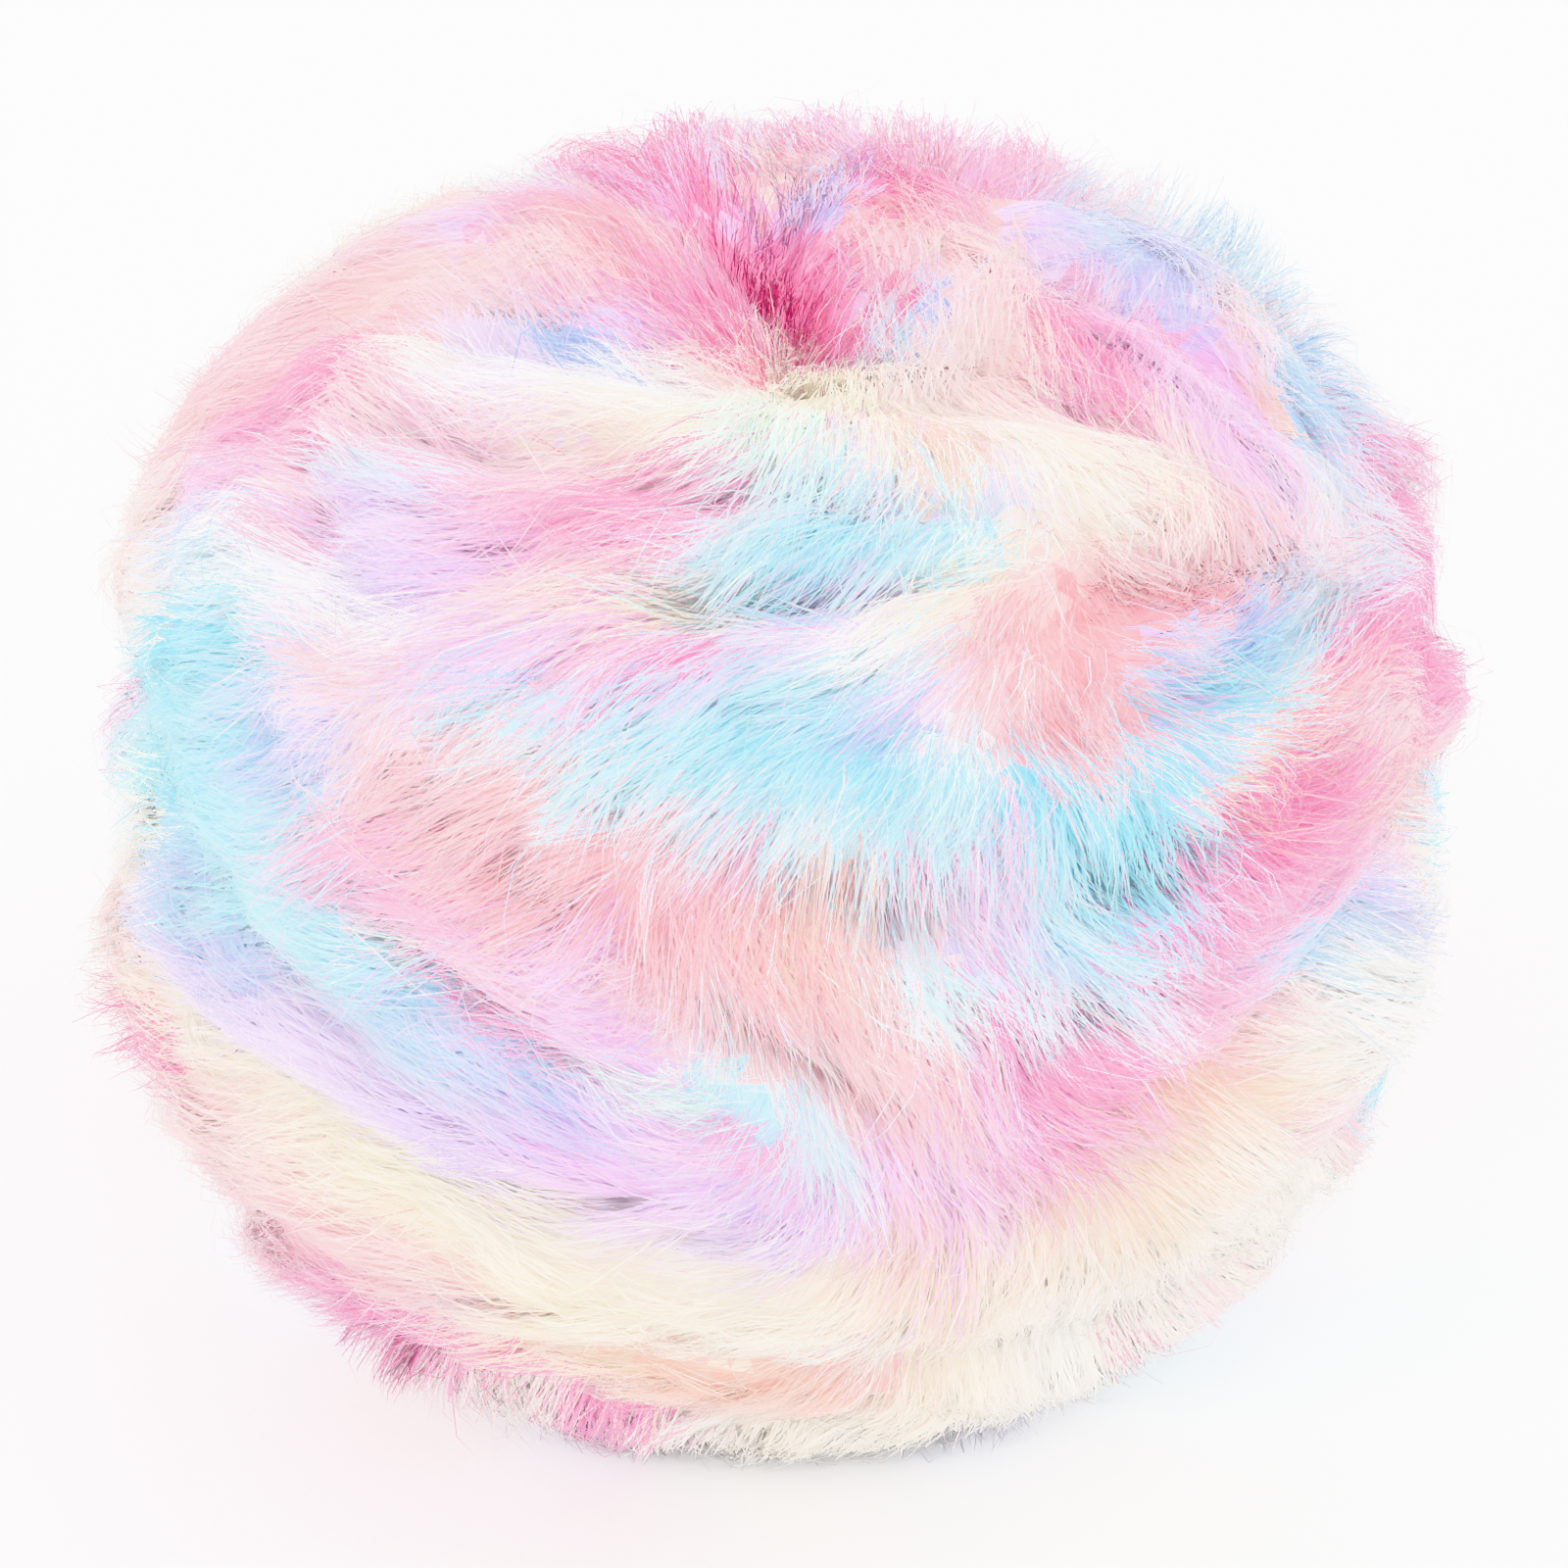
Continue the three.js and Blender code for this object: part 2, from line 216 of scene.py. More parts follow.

# The pile of the front, charted: for each dye, strokes from where the hairs are rooted
# to where their tips lie, in pixels of the photograph's frame.
STROKES = {
    "white": [(660, 425, 600, 405), (650, 400, 620, 388), (690, 415, 650, 398),
              (480, 400, 430, 380), (560, 400, 520, 385), (330, 600, 230, 605),
              (350, 570, 230, 565), (400, 640, 290, 625), (980, 770, 930, 765),
              (300, 570, 220, 545)],
    "ivory": [(470, 385, 410, 355), (760, 400, 720, 420), (1060, 480, 1130, 530),
              (960, 430, 1010, 480), (1100, 500, 1170, 540)],
    "cream": [(230, 1070, 170, 1020), (280, 1120, 220, 1060), (330, 1180, 260, 1120),
              (700, 1340, 620, 1320), (500, 1250, 430, 1220), (620, 1290, 540, 1260),
              (830, 1340, 770, 1330), (150, 790, 100, 792), (145, 850, 105, 855),
              (170, 1000, 135, 980), (640, 600, 570, 620), (740, 620, 690, 650),
              (960, 640, 900, 670), (980, 610, 920, 630), (1060, 560, 1000, 590),
              (620, 440, 540, 430), (700, 440, 630, 430), (780, 390, 740, 360),
              (1040, 450, 1110, 490), (1130, 460, 1200, 520), (1100, 540, 1160, 560),
              (1000, 1390, 930, 1460), (950, 1420, 890, 1490), (1040, 1270, 1010, 1360),
              (770, 1370, 700, 1355), (820, 1440, 800, 1480)],
    "butter": [(380, 1220, 320, 1150), (420, 1240, 360, 1190), (500, 1300, 430, 1250),
               (600, 1330, 520, 1300), (880, 420, 900, 470), (830, 400, 820, 450),
               (420, 980, 395, 940), (800, 360, 790, 400), (450, 1210, 400, 1160)],
    # Greyish oat on the underside and lower right: painted shade.
    "oat": [(740, 1300, 670, 1280), (820, 1300, 750, 1290), (1400, 840, 1490, 860),
            (1420, 890, 1480, 910), (1300, 1060, 1370, 1080), (1290, 1150, 1350, 1170),
            (1250, 1200, 1310, 1230), (1200, 1260, 1270, 1300), (1150, 1280, 1200, 1350),
            (1080, 1280, 1060, 1370), (1120, 1290, 1130, 1370), (1130, 1350, 1140, 1420),
            (1040, 1380, 1030, 1450), (880, 1440, 860, 1480), (500, 1400, 490, 1440),
            (560, 1410, 570, 1450), (640, 1440, 660, 1485), (430, 1390, 420, 1430),
            (720, 1440, 710, 1475), (960, 1450, 940, 1480), (870, 1350, 820, 1370)],
    # Grey strokes laid as painted shade, mostly on the underside and lower right.
    "painted_shade_grey": [(1420, 960, 1450, 1000), (1360, 980, 1420, 990), (1340, 1030, 1420, 1040),
              (1370, 1090, 1430, 1100), (1080, 1370, 1080, 1440), (900, 1360, 890, 1390),
              (900, 660, 840, 680), (470, 1390, 465, 1430)],
    # Tan on the underside, the lower right and a crease at the middle: painted shade.
    "painted_shade_tan": [(690, 610, 630, 625), (640, 1370, 570, 1355), (590, 1385, 520, 1370),
             (1250, 1130, 1320, 1120), (1180, 1180, 1240, 1200), (1090, 1210, 1060, 1280),
             (960, 1300, 940, 1370), (930, 1310, 860, 1300), (1130, 1200, 1160, 1270)],
    "peach": [(740, 930, 800, 980), (800, 960, 860, 1010), (980, 440, 950, 480),
              (960, 480, 990, 510), (1190, 1110, 1250, 1100), (1150, 1150, 1200, 1150),
              (870, 1400, 790, 1395), (800, 1410, 730, 1400), (740, 1400, 680, 1380),
              (690, 1380, 640, 1360), (1290, 770, 1250, 810), (1090, 1200, 1070, 1240),
              (1290, 400, 1310, 470), (830, 930, 850, 980)],
    "shell": [(930, 350, 950, 375), (985, 330, 1005, 355), (700, 270, 620, 258),
              (600, 265, 520, 262), (500, 280, 420, 290), (400, 300, 330, 340),
              (740, 388, 690, 352), (720, 400, 680, 370), (960, 240, 1010, 300),
              (1000, 240, 1050, 300), (1230, 290, 1270, 350), (1260, 320, 1290, 400),
              (640, 470, 560, 470), (560, 600, 480, 640), (920, 400, 980, 430),
              (1000, 400, 1060, 440), (960, 350, 1020, 390), (1010, 330, 1060, 380),
              (1180, 450, 1240, 500), (1130, 580, 1060, 600), (290, 1180, 220, 1150),
              (240, 1130, 180, 1110), (1400, 430, 1430, 430), (450, 1290, 390, 1260)],
    "haze": [(180, 480, 125, 490), (180, 540, 118, 548), (180, 600, 122, 606),
             (175, 655, 122, 660), (170, 705, 122, 708), (150, 910, 110, 915),
             (160, 960, 120, 960)],
    "blush": [(560, 322, 480, 328), (540, 300, 460, 305), (918, 270, 925, 300),
              (965, 285, 980, 318), (760, 165, 765, 130), (820, 160, 830, 120),
              (900, 165, 905, 130), (960, 165, 975, 130), (400, 250, 350, 235),
              (340, 265, 280, 262), (300, 300, 235, 300), (310, 340, 240, 360),
              (260, 380, 190, 400), (220, 440, 150, 460), (360, 670, 280, 660),
              (400, 710, 300, 715), (420, 740, 350, 760), (420, 440, 340, 430),
              (400, 400, 340, 395), (330, 510, 240, 505), (560, 490, 480, 480),
              (520, 460, 460, 440), (1240, 500, 1290, 560), (1200, 560, 1150, 580),
              (1350, 520, 1340, 570), (640, 990, 590, 960), (700, 1060, 640, 1010),
              (960, 900, 960, 950), (450, 1310, 380, 1280), (280, 1210, 230, 1180),
              (1380, 740, 1460, 735), (1310, 250, 1330, 235), (1340, 330, 1360, 310),
              (1380, 390, 1410, 385), (880, 250, 890, 320), (980, 690, 960, 730),
              (680, 840, 660, 890), (1230, 1300, 1270, 1320), (1330, 1150, 1370, 1150)],
    "coral": [(860, 180, 780, 175), (790, 190, 730, 185), (470, 325, 400, 350),
              (250, 410, 200, 440), (880, 220, 930, 240), (960, 205, 990, 230),
              (1290, 560, 1240, 575), (1060, 650, 1000, 640), (1040, 680, 1080, 730),
              (1000, 700, 1040, 760), (500, 760, 420, 800), (560, 800, 480, 850),
              (430, 790, 360, 830), (470, 850, 400, 890), (540, 850, 480, 910),
              (700, 1000, 770, 1050), (760, 1050, 830, 1090), (860, 1060, 930, 1100),
              (920, 1080, 960, 1140), (800, 890, 790, 940), (860, 890, 860, 940),
              (1330, 700, 1400, 680), (1430, 780, 1490, 775), (1380, 810, 1450, 790),
              (1270, 1030, 1300, 1000), (1230, 1080, 1280, 1060), (900, 1390, 850, 1385),
              (380, 1270, 310, 1250), (300, 1250, 250, 1220), (920, 1240, 910, 1300),
              (560, 930, 510, 980), (840, 1010, 880, 1050), (860, 1110, 880, 1160)],
    "salmon": [(590, 860, 550, 930), (640, 880, 610, 950), (700, 930, 750, 980),
               (800, 1000, 850, 1040), (1200, 590, 1130, 600), (1270, 600, 1200, 620),
               (1180, 640, 1110, 620), (1100, 680, 1150, 730), (1080, 730, 1120, 780),
               (1040, 760, 1090, 790), (1150, 700, 1190, 750), (640, 245, 570, 238),
               (680, 950, 680, 1000)],
    "pink": [(1045, 190, 1055, 115), (1075, 190, 1085, 140), (560, 225, 500, 215),
             (620, 300, 560, 308), (280, 430, 240, 470), (300, 465, 250, 490),
             (320, 545, 260, 525), (470, 490, 420, 430), (1030, 290, 1080, 350),
             (1100, 300, 1150, 360), (1390, 480, 1420, 470), (1440, 720, 1490, 730),
             (1350, 880, 1400, 850), (1230, 980, 1290, 920), (1290, 940, 1350, 900),
             (1200, 1040, 1260, 1000), (400, 870, 330, 860), (420, 910, 350, 900),
             (480, 940, 420, 930), (560, 1070, 490, 1020), (600, 1080, 540, 1040),
             (930, 870, 940, 920), (1000, 865, 1030, 910), (740, 870, 730, 920),
             (560, 530, 480, 545), (740, 530, 700, 535), (600, 550, 520, 575),
             (660, 560, 590, 570), (620, 670, 560, 700), (1100, 1120, 1160, 1120),
             (1000, 1200, 1060, 1190), (350, 1310, 310, 1290), (820, 230, 850, 270),
             (860, 510, 820, 515), (780, 1185, 740, 1160), (1170, 350, 1210, 400)],
    "rose": [(700, 205, 620, 192), (720, 245, 650, 225), (360, 385, 310, 420),
             (320, 420, 270, 450), (690, 385, 640, 345), (740, 240, 800, 270),
             (800, 260, 830, 310), (860, 280, 870, 340), (1070, 340, 1120, 400),
             (1090, 380, 1140, 430), (1420, 520, 1450, 520), (1430, 570, 1462, 575),
             (1400, 640, 1465, 625), (1370, 670, 1440, 655), (1430, 690, 1470, 690),
             (1290, 830, 1330, 760), (1310, 860, 1370, 800), (1250, 900, 1310, 860),
             (1200, 940, 1260, 890), (1180, 990, 1230, 940), (520, 1060, 450, 1005),
             (620, 520, 560, 530), (700, 530, 630, 525), (700, 680, 640, 690),
             (1020, 1060, 1060, 1080), (1060, 1090, 1110, 1110), (1110, 1070, 1160, 1080),
             (1070, 1170, 1020, 1190), (530, 1380, 450, 1365), (470, 1375, 400, 1350),
             (420, 1345, 350, 1325), (430, 1370, 360, 1378), (140, 1085, 115, 1045),
             (915, 205, 950, 225), (650, 1437, 600, 1437), (1180, 1375, 1205, 1370)],
    "magenta": [(700, 160, 632, 165), (755, 205, 690, 200), (720, 180, 640, 178),
                (690, 250, 740, 285), (740, 280, 790, 325), (790, 300, 830, 345),
                (830, 330, 880, 370), (900, 300, 930, 310), (850, 350, 800, 300),
                (770, 325, 725, 290), (810, 350, 770, 325)],
    "orchid": [(650, 365, 615, 335), (670, 385, 640, 362), (855, 165, 860, 110),
               (1010, 180, 1030, 135), (680, 215, 600, 205), (670, 340, 590, 312),
               (450, 600, 420, 585), (250, 500, 210, 505), (730, 215, 790, 225),
               (870, 290, 880, 350), (1140, 340, 1190, 400), (1180, 380, 1230, 450),
               (1230, 430, 1270, 500), (1250, 380, 1280, 440), (500, 640, 440, 680),
               (560, 650, 490, 690), (640, 710, 570, 730), (480, 570, 440, 590),
               (620, 1070, 560, 1020), (640, 1060, 600, 1010), (560, 980, 500, 960),
               (600, 1200, 530, 1160), (660, 1220, 600, 1180), (880, 1250, 820, 1240),
               (940, 1170, 930, 1230), (980, 1180, 990, 1240), (900, 1200, 890, 1270),
               (960, 1240, 960, 1300), (800, 1210, 740, 1190), (1030, 920, 1010, 960),
               (1010, 1140, 1050, 1150), (700, 1190, 660, 1160)],
    "lilac": [(480, 235, 430, 215), (330, 640, 260, 640), (400, 575, 340, 545),
              (450, 530, 380, 500), (560, 420, 500, 360), (520, 400, 470, 350),
              (1050, 220, 1090, 270), (1080, 270, 1120, 320), (350, 760, 290, 750),
              (220, 1010, 160, 960), (330, 1060, 260, 1010), (400, 1110, 330, 1060),
              (520, 1170, 450, 1120), (450, 1130, 390, 1090), (760, 1240, 680, 1210),
              (750, 690, 680, 710), (800, 650, 730, 690), (870, 630, 800, 660),
              (960, 700, 910, 720), (1040, 500, 1000, 520), (880, 500, 940, 520),
              (720, 1260, 660, 1240)],
    "violet": [(430, 610, 380, 575), (385, 530, 350, 510), (580, 1140, 520, 1095),
               (640, 1160, 590, 1130), (480, 1160, 420, 1120), (820, 1260, 750, 1240),
               (900, 610, 820, 640), (920, 730, 880, 750), (1020, 950, 1000, 980),
               (1170, 700, 1210, 720), (600, 1160, 550, 1130)],
    "peri": [(250, 885, 180, 890), (330, 740, 250, 730), (330, 790, 260, 780),
             (800, 215, 850, 225), (1140, 270, 1170, 310), (1180, 270, 1210, 330),
             (270, 985, 190, 955), (520, 1100, 460, 1050), (1340, 930, 1410, 890),
             (1400, 930, 1440, 940), (1190, 660, 1230, 670), (900, 755, 820, 752),
             (1010, 970, 1050, 990)],
    "blue": [(600, 385, 575, 358), (945, 322, 958, 330), (1280, 650, 1270, 630)],
    "sky": [(240, 560, 190, 550), (575, 365, 550, 345), (926, 335, 934, 344),
            (1210, 250, 1235, 275), (1295, 330, 1335, 305), (1305, 390, 1350, 365),
            (1320, 455, 1370, 430), (230, 850, 170, 860), (430, 1060, 390, 1010),
            (470, 1060, 430, 1020), (1330, 950, 1370, 930), (1310, 960, 1350, 920),
            (520, 700, 470, 715), (1270, 690, 1310, 620), (1320, 640, 1370, 590),
            (1080, 950, 1130, 1000), (1250, 760, 1230, 830), (560, 1110, 510, 1070)],
    "aqua": [(265, 620, 215, 628), (255, 670, 200, 682), (240, 720, 175, 728),
             (240, 760, 150, 765), (290, 830, 200, 835), (300, 870, 230, 872),
             (280, 910, 200, 905), (330, 940, 260, 900), (380, 990, 320, 935),
             (420, 1020, 370, 970), (560, 735, 480, 720), (620, 760, 550, 745),
             (660, 730, 590, 760), (700, 770, 640, 810), (740, 790, 720, 850),
             (790, 800, 790, 870), (850, 800, 850, 870), (880, 820, 890, 880),
             (930, 810, 950, 860), (970, 820, 1000, 860), (1050, 860, 1070, 940),
             (1290, 700, 1340, 630), (1220, 840, 1240, 880), (900, 690, 820, 720),
             (800, 710, 720, 735), (740, 580, 660, 590), (820, 570, 740, 590),
             (920, 570, 860, 585), (980, 550, 920, 570), (900, 530, 840, 540),
             (1010, 545, 950, 540), (780, 1140, 720, 1110), (1370, 430, 1390, 450),
             (640, 800, 590, 830)],
    "turquoise": [(280, 780, 200, 790), (760, 760, 710, 775), (830, 770, 780, 765),
                  (850, 780, 900, 800), (1030, 810, 1070, 860), (1090, 830, 1130, 900),
                  (1130, 880, 1150, 950), (1150, 800, 1190, 850), (1200, 780, 1240, 720),
                  (1230, 740, 1260, 670), (870, 580, 800, 590), (1170, 860, 1190, 920),
                  (225, 640, 190, 700)],
    "mist": [(560, 195, 545, 160), (640, 175, 630, 145), (700, 165, 715, 120),
             (500, 200, 470, 190), (420, 500, 345, 478), (1110, 215, 1150, 270),
             (1160, 210, 1200, 260), (1330, 480, 1345, 520), (1270, 280, 1290, 230),
             (780, 500, 760, 550), (1350, 610, 1420, 570), (1120, 960, 1180, 970),
             (1110, 1000, 1170, 1060), (1060, 1010, 1120, 1040), (820, 850, 830, 900),
             (870, 1160, 855, 1230), (820, 1120, 830, 1170), (930, 360, 915, 380),
             (240, 590, 190, 600)],
    "sage": [(930, 1010, 990, 1030), (1000, 1000, 1060, 1010), (770, 1120, 740, 1100)],
    "mint": [(740, 450, 700, 440), (790, 440, 780, 500), (800, 520, 760, 530),
             (700, 1120, 640, 1100), (830, 440, 825, 490)],
}

HOLLOW_FAN = (2, 9)    # degrees from the hollow's axis to a stroke's start and end
HOLLOW_FAN_STEP = math.pi / 4
HOLLOW_DYES = ("magenta", "rose")


def unit(v):
    return v / np.maximum(np.linalg.norm(v, axis=-1, keepdims=True), TINY)


def direction(lon, lat):
    """Unit vectors of longitudes and latitudes in degrees."""
    lon, lat = np.radians(lon), np.radians(lat)
    return np.stack([np.sin(lon) * np.cos(lat), -np.cos(lon) * np.cos(lat), np.sin(lat)], -1)


def wrap_axes(wrap):
    """Pole of a wrap, and the axes of 0 degrees and 90 degrees about it."""
    pole = direction(wrap.pole_lon, wrap.pole_lat)
    front = np.array([0.0, -1.0, 0.0])
    start = unit(front - front.dot(pole) * pole)
    return pole, start, np.cross(pole, start)


def wrap_height(wrap, dirs):
    """Height of one wrap over the base form, in directions from the centre."""
    pole, start, side = wrap_axes(wrap)
    radius = math.radians(wrap.radius)
    across = (np.arccos(np.clip(dirs @ pole, -1, 1)) - radius) * BALL_RADIUS
    around = np.degrees(np.arctan2(dirs @ side, dirs @ start)) - (wrap.start + wrap.end) / 2
    past = np.maximum(0, np.abs((around + 180) % 360 - 180) - (wrap.end - wrap.start) / 2)
    past_length = np.radians(past) * BALL_RADIUS * math.sin(radius)
    crown = WRAP_BULGE * (1 - (across / (wrap.width / 2)) ** 2)
    return crown + LEVEL_RISE * wrap.level - END_DIVE * past_length


def surface_radius(dirs):
    """Distance from the centre to the wound form, before the flat spot."""
    sideways = np.hypot(dirs[:, 0], dirs[:, 1]) / BALL_RADIUS
    upright = np.abs(dirs[:, 2]) / BALL_HALF_HEIGHT
    base = (sideways ** SQUARENESS + upright ** SQUARENESS) ** (-1 / SQUARENESS)
    hollow_axis = direction(HOLLOW_LON, HOLLOW_LAT)
    from_hollow = np.degrees(np.arccos(np.clip(dirs @ hollow_axis, -1, 1)))
    hollow = HOLLOW_DEPTH * np.exp(-((from_hollow / HOLLOW_SPREAD) ** 2))
    top = np.full(len(dirs), -np.inf)
    for wrap in WRAPS:
        top = np.maximum(top, wrap_height(wrap, dirs))
    from_nadir = np.degrees(np.arccos(np.clip(-dirs[:, 2], -1, 1)))
    free = np.clip((from_nadir - PRESSED_TO) / (PRESSED_FREE - PRESSED_TO), 0, 1)
    free = free * free * (3 - 2 * free)
    return base + free * np.maximum(-CREASE_DEPTH, top - WRAP_BULGE) - hollow


class Surface:
    """The wound form's radius and outward normal, looked up in a grid of directions."""
    LONS, LATS = 1080, 540
    LAST_ROW = LATS - 1.001        # just short of the last, which has none above it

    def __init__(self):
        lon = (np.arange(self.LONS) + 0.5) * 360 / self.LONS - 180
        lat = (np.arange(self.LATS) + 0.5) * 180 / self.LATS - 90
        lon, lat = np.meshgrid(lon, lat)
        dirs = direction(lon.ravel(), lat.ravel())
        self.radius = surface_radius(dirs).reshape(self.LATS, self.LONS)
        point = dirs.reshape(self.LATS, self.LONS, 3) * self.radius[..., None]
        east = np.roll(point, -1, 1) - np.roll(point, 1, 1)
        north = np.gradient(point, axis=0)
        self.normal = unit(np.cross(east, north))

    def cell(self, dirs):
        lon = np.degrees(np.arctan2(dirs[:, 0], -dirs[:, 1]))
        lat = np.degrees(np.arcsin(np.clip(dirs[:, 2], -1, 1)))
        col = (lon + 180) * self.LONS / 360 - 0.5
        row = np.clip((lat + 90) * self.LATS / 180 - 0.5, 0, self.LAST_ROW)
        return row, col

    def at(self, dirs):
        """Radius in directions, between the grid's points."""
        row, col = self.cell(dirs)
        r0, c0 = np.floor(row).astype(int), np.floor(col).astype(int)
        fr, fc = row - r0, col - c0
        c0, c1 = c0 % self.LONS, (c0 + 1) % self.LONS
        low = self.radius[r0, c0] * (1 - fc) + self.radius[r0, c1] * fc
        high = self.radius[r0 + 1, c0] * (1 - fc) + self.radius[r0 + 1, c1] * fc
        return low * (1 - fr) + high * fr

    def normals(self, dirs):
        row, col = self.cell(dirs)
        return self.normal[np.rint(row).astype(int), np.rint(col).astype(int) % self.LONS]


SURFACE = Surface()


# Camera
def view_axes():
    """Eye relative to the ball's centre, and the view's backward, right and up axes."""
    tilt = math.radians(VIEW_ELEVATION)
    back = np.array([0.0, -math.cos(tilt), math.sin(tilt)])
    right = np.array([1.0, 0.0, 0.0])
    up = np.array([0.0, math.sin(tilt), math.cos(tilt)])
    return back * VIEW_DISTANCE, back, right, up


EYE, BACK, RIGHT, UP = view_axes()


def add_camera():
    data = bpy.data.cameras.new("camera")
    data.sensor_width = SENSOR
    data.lens = SENSOR * VIEW_DISTANCE * PIXELS_PER_MM / FRAME_PIXELS
    data.clip_start = CLIP_START
    camera = bpy.data.objects.new("camera", data)
    bpy.context.scene.collection.objects.link(camera)
    camera.location = (EYE + (0, 0, CENTRE_HEIGHT)) * MM
    camera.rotation_euler = (math.radians(90 - VIEW_ELEVATION), 0, 0)
    bpy.context.scene.camera = camera


def on_ball(pixels):
    """Points of the ball under pixels of the frame, or nearest to their lines of sight."""
    pixels = np.asarray(pixels, float)
    offset = (pixels - FRAME_PIXELS / 2) / PIXELS_PER_MM
    aim = offset[:, :1] * RIGHT - offset[:, 1:] * UP - BACK * VIEW_DISTANCE
    best = np.full(len(pixels), np.inf)
    point = np.zeros((len(pixels), 3))
    found = np.zeros(len(pixels), bool)
    for step in SIGHT_STEPS:
        here = EYE + aim * step
        gap = np.linalg.norm(here, axis=1) - SURFACE.at(unit(here))
        better = ~found & (gap < best)
        best = np.where(better, gap, best)
        point[better] = here[better]
        found |= gap <= 0
    return point


# Dye and comb, as strokes laid on the ball
def front_strokes():
    rows = [(x0, y0, x1, y1, DYE_NAMES.index(dye))
            for dye, strokes in STROKES.items() for x0, y0, x1, y1 in strokes]
    rows = np.array(rows)
    return on_ball(rows[:, 0:2]), on_ball(rows[:, 2:4]), rows[:, 4].astype(int)


def hollow_strokes():
    """Strokes that fan out from the bottom of the hollow, which the photograph sees in part."""
    axis = direction(HOLLOW_LON, HOLLOW_LAT)
    side = unit(np.cross(axis, (0.0, 1.0, 0.0)))
    turn = np.arange(0, 2 * math.pi, HOLLOW_FAN_STEP)[:, None]
    ring = np.cos(turn) * side + np.sin(turn) * np.cross(axis, side)
    ends = [unit(axis + math.tan(math.radians(away)) * ring) for away in HOLLOW_FAN]
    start, end = (dirs * SURFACE.at(dirs)[:, None] for dirs in ends)
    dyes = [DYE_NAMES.index(HOLLOW_DYES[number % len(HOLLOW_DYES)]) for number in range(len(ring))]
    return start, end, np.array(dyes)


def far_strokes():
    """Strokes along the wraps wherever the photograph doesn't look."""
    start_points, end_points, dyes = [], [], []
    for number, wrap in enumerate(WRAPS):
        pole, start, side = wrap_axes(wrap)
        radius, comb = math.radians(wrap.radius), math.radians(wrap.comb)
        ring = math.sin(radius)
        step = math.degrees(2 * STROKE_REACH / (BALL_RADIUS * ring))
        angles = np.radians(np.arange(wrap.start, wrap.end, step))
        dirs = (math.cos(radius) * pole
                + ring * (np.cos(angles)[:, None] * start + np.sin(angles)[:, None] * side))
        tangents = np.cross(pole, dirs)
        lies = unit(math.cos(comb) * unit(tangents)
                    + math.sin(comb) * unit(np.cross(dirs, tangents)))
        names = wrap.dyes.split()
        for out, lie, along in zip(dirs, lies, angles * BALL_RADIUS * ring):
            heights = [wrap_height(other, out[None])[0] for other in WRAPS]
            if int(np.argmax(heights)) != number or out @ BACK > PHOTO_EDGE:
                continue
            middle = out * SURFACE.at(out[None])[0]
            start_points.append(middle - lie * STROKE_REACH)
            end_points.append(middle + lie * STROKE_REACH)
            dyes.append(DYE_NAMES.index(names[int(along / DYE_STEP) % len(names)]))
    return np.array(start_points), np.array(end_points), np.array(dyes)


class Chart:
    """The lie and the dye of the pile anywhere on the ball."""
    STEERS = 6.0       # mm over which a stroke steers its neighbours
    SAMPLES = 7        # points along a stroke
    COMBED = 0.75      # length of the strokes' mean direction from which the pile lies flat
    PARTED = 0.15      # the least lean where they disagree

    def __init__(self):
        charted = front_strokes(), hollow_strokes(), far_strokes()
        start, end, dye = (np.concatenate(part) for part in zip(*charted))
        self.middle = (start + end) / 2
        run = end - start
        out = unit(self.middle)
        self.run = unit(run - np.sum(run * out, 1, keepdims=True) * out)
        shares = np.linspace(0, 1, self.SAMPLES)[:, None]
        self.stroke_dye = np.repeat(dye, self.SAMPLES)
        self.tree = KDTree(len(self.stroke_dye))
        strokes = start[:, None] * (1 - shares) + end[:, None] * shares
        for number, point in enumerate(strokes.reshape(-1, 3)):
            self.tree.insert(point, number)
        self.tree.balance()

    def lie(self, points):
        """Direction in which the hairs lie, along the surface, and how far they agree on it."""
        gap = np.sum((points[:, None] - self.middle[None]) ** 2, 2)
        weight = np.exp(-gap / (2 * self.STEERS ** 2)) + TINY / (1 + gap)
        lie = weight @ self.run / weight.sum(1, keepdims=True)
        agreed = np.clip(np.linalg.norm(lie, axis=1) / self.COMBED, self.PARTED, 1)
        out = unit(points)
        return unit(lie - np.sum(lie * out, 1, keepdims=True) * out), agreed

    def dye_at(self, points):
        """Number of the dye whose stroke passes nearest."""
        return np.array([self.stroke_dye[self.tree.find(point)[1]] for point in points])


CHART = Chart()


def spread_directions(count):
    """Directions spread evenly over the ball by a golden-angle spiral."""
    index = np.arange(count)
    z = 1 - (index + 0.5) * 2 / count
    turn = index * math.pi * (3 - math.sqrt(5))
    level = np.sqrt(1 - z * z)
    return np.stack([np.cos(turn) * level, np.sin(turn) * level, z], 1)


def turned(lie, out, angle):
    """A tangent turned about the outward direction."""
    angle = angle[:, None]
    return lie * np.cos(angle) + np.cross(out, lie) * np.sin(angle)


def nearest(dirs, centres, batch=1000):
    """Number of the centre that is nearest to each direction."""
    parts = [dirs[low:low + batch] for low in range(0, len(dirs), batch)]
    return np.concatenate([np.argmax(part @ centres.T, 1) for part in parts])


